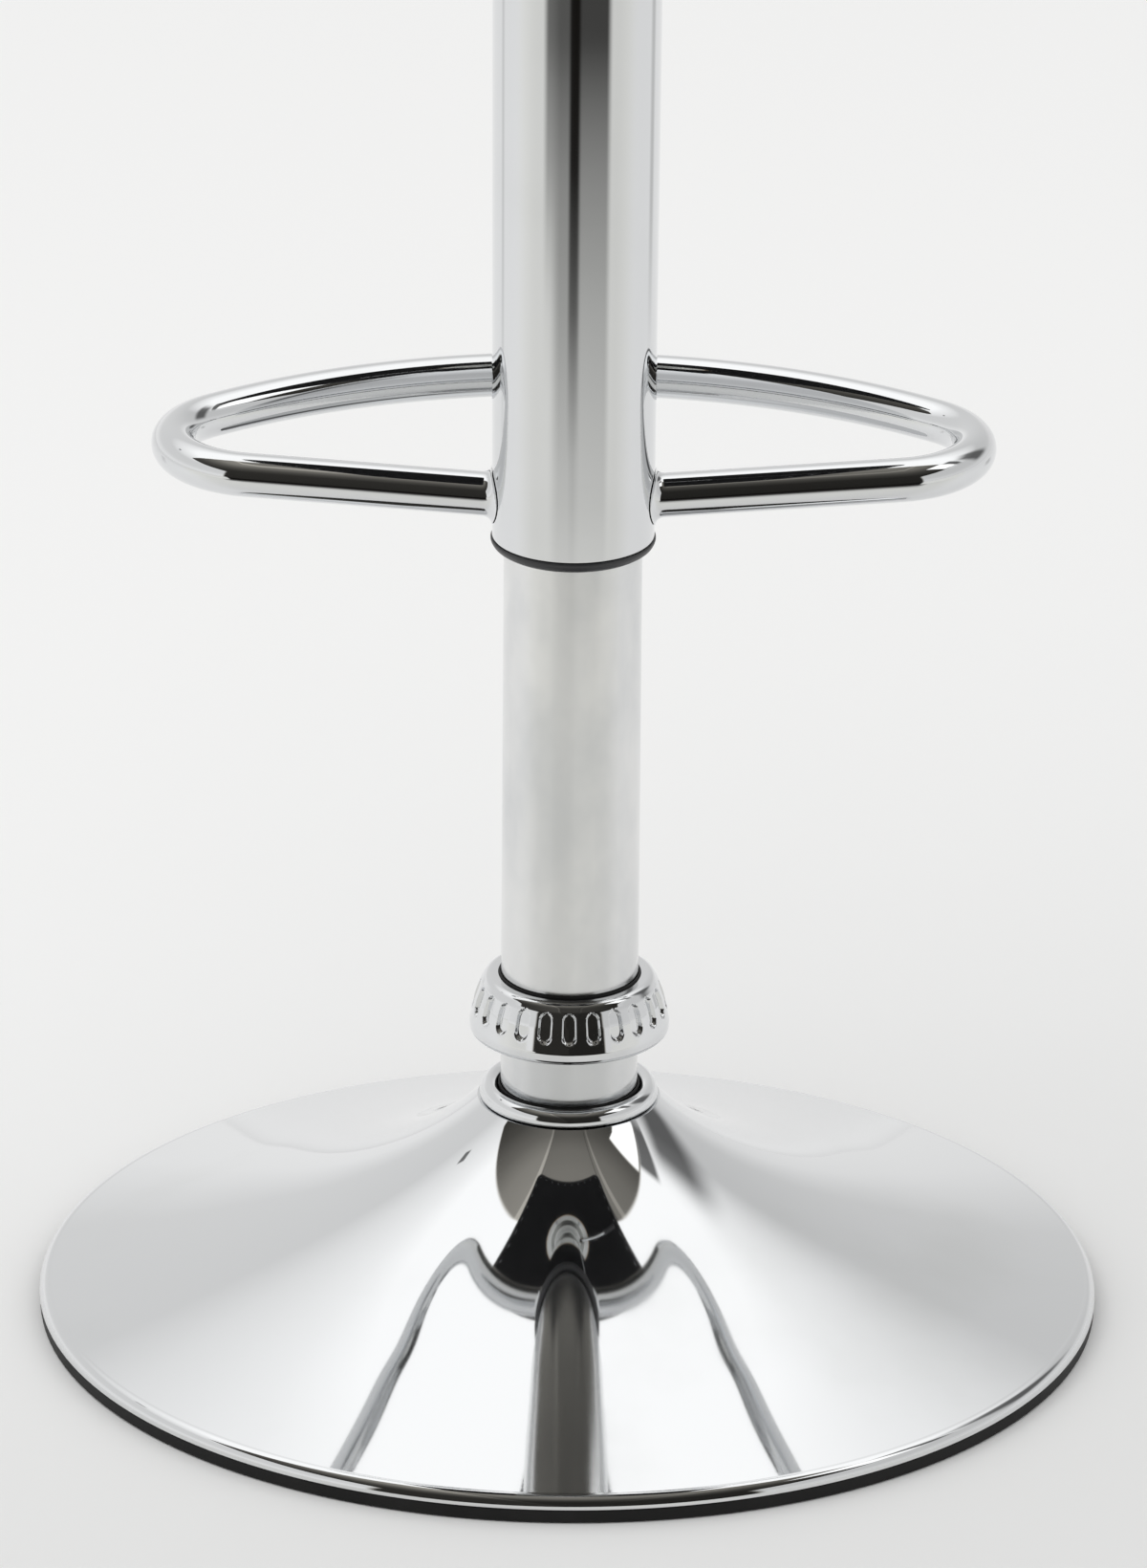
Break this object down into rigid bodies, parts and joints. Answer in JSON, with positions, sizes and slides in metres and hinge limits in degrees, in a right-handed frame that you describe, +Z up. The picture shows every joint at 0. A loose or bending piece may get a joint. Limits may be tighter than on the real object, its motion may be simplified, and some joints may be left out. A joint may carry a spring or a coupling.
{
  "type": "counter stool",
  "caption": "Counter stool on a chromed trumpet base: a gas-lift column carries a turning four-sided padded seat with a release lever, and a footrest loop welded to its sliding cover.",
  "frame": {"origin": "on the floor, at the centre of the base, on the column's axis", "axes": "+Z up along the column, +Y the way the footrest loop reaches, +X the way the release lever reaches"},
  "size_m": [0.388, 0.388, 0.778],
  "materials": {
    "chrome": "polished",
    "satin_chrome": "satin",
    "zinc": "satin",
    "steel": "satin",
    "painted_steel": "satin",
    "rubber": "matte",
    "black_plastic": "satin",
    "pale_plastic": "satin",
    "plywood": "matte",
    "cloth": "matte",
    "vinyl": "satin"
  },
  "bodies": {
    "base": {"trumpet_base": "chrome", "rim_rubber": "rubber", "support_plate": "painted_steel", "base_socket": "painted_steel", "neck_ring": "chrome", "column_seal": "rubber", "column_tube": "satin_chrome", "column_foot": "steel", "stop_collar": "chrome", "collar_liner": "rubber", "guide_bush": "pale_plastic", "lower_race": "steel"},
    "spindle": {"bearing_ball_1": "steel", "bearing_ball_2": "steel", "bearing_ball_3": "steel", "bearing_ball_4": "steel", "bearing_ball_5": "steel", "bearing_ball_6": "steel", "bearing_ball_7": "steel", "bearing_ball_8": "steel", "ball_cage": "pale_plastic", "upper_race": "steel", "piston_rod": "steel", "piston_head": "steel", "bump_stop": "rubber", "rod_washer": "steel", "rod_clip": "steel"},
    "lift": {"gas_cylinder": "painted_steel", "cylinder_gland": "black_plastic", "bell_tube": "chrome", "bell_cap": "zinc", "bell_ring": "black_plastic", "footrest_loop": "chrome", "taper_socket": "zinc", "seat_plate": "zinc", "lever_bracket": "zinc", "lever_pin": "steel", "seat_screw_1": "steel", "seat_screw_2": "steel", "seat_screw_3": "steel", "seat_screw_4": "steel", "dust_cover": "cloth", "seat_board": "plywood", "seat_cushion": "vinyl"},
    "lever": {"lever_rod": "chrome", "lever_grip": "black_plastic"},
    "pin": {"release_pin": "steel"}
  },
  "joints": [
    {"name": "seat_swivel", "type": "hinge", "parent": "base", "child": "spindle", "pos_m": [0, 0, 0.0348], "axis": [0, 0, 1], "continuous": true},
    {"name": "seat_height", "type": "slide", "parent": "spindle", "child": "lift", "axis": [0, 0, 1], "range_m": [-0.164, 0]},
    {"name": "lever_pull", "type": "hinge", "parent": "lift", "child": "lever", "pos_m": [0.026, 0, 0.7055], "axis": [0, -1, 0], "range_deg": [0, 7], "stiffness_Nm_per_rad": 4, "springref_deg": -2.86},
    {"name": "pin_press", "type": "slide", "parent": "lift", "child": "pin", "axis": [0, 0, -1], "range_m": [0, 0.0036]}
  ],
  "couplings": [
    {"joint": "pin_press", "follows": "lever_pull", "m_per_rad": 0.029}
  ]
}
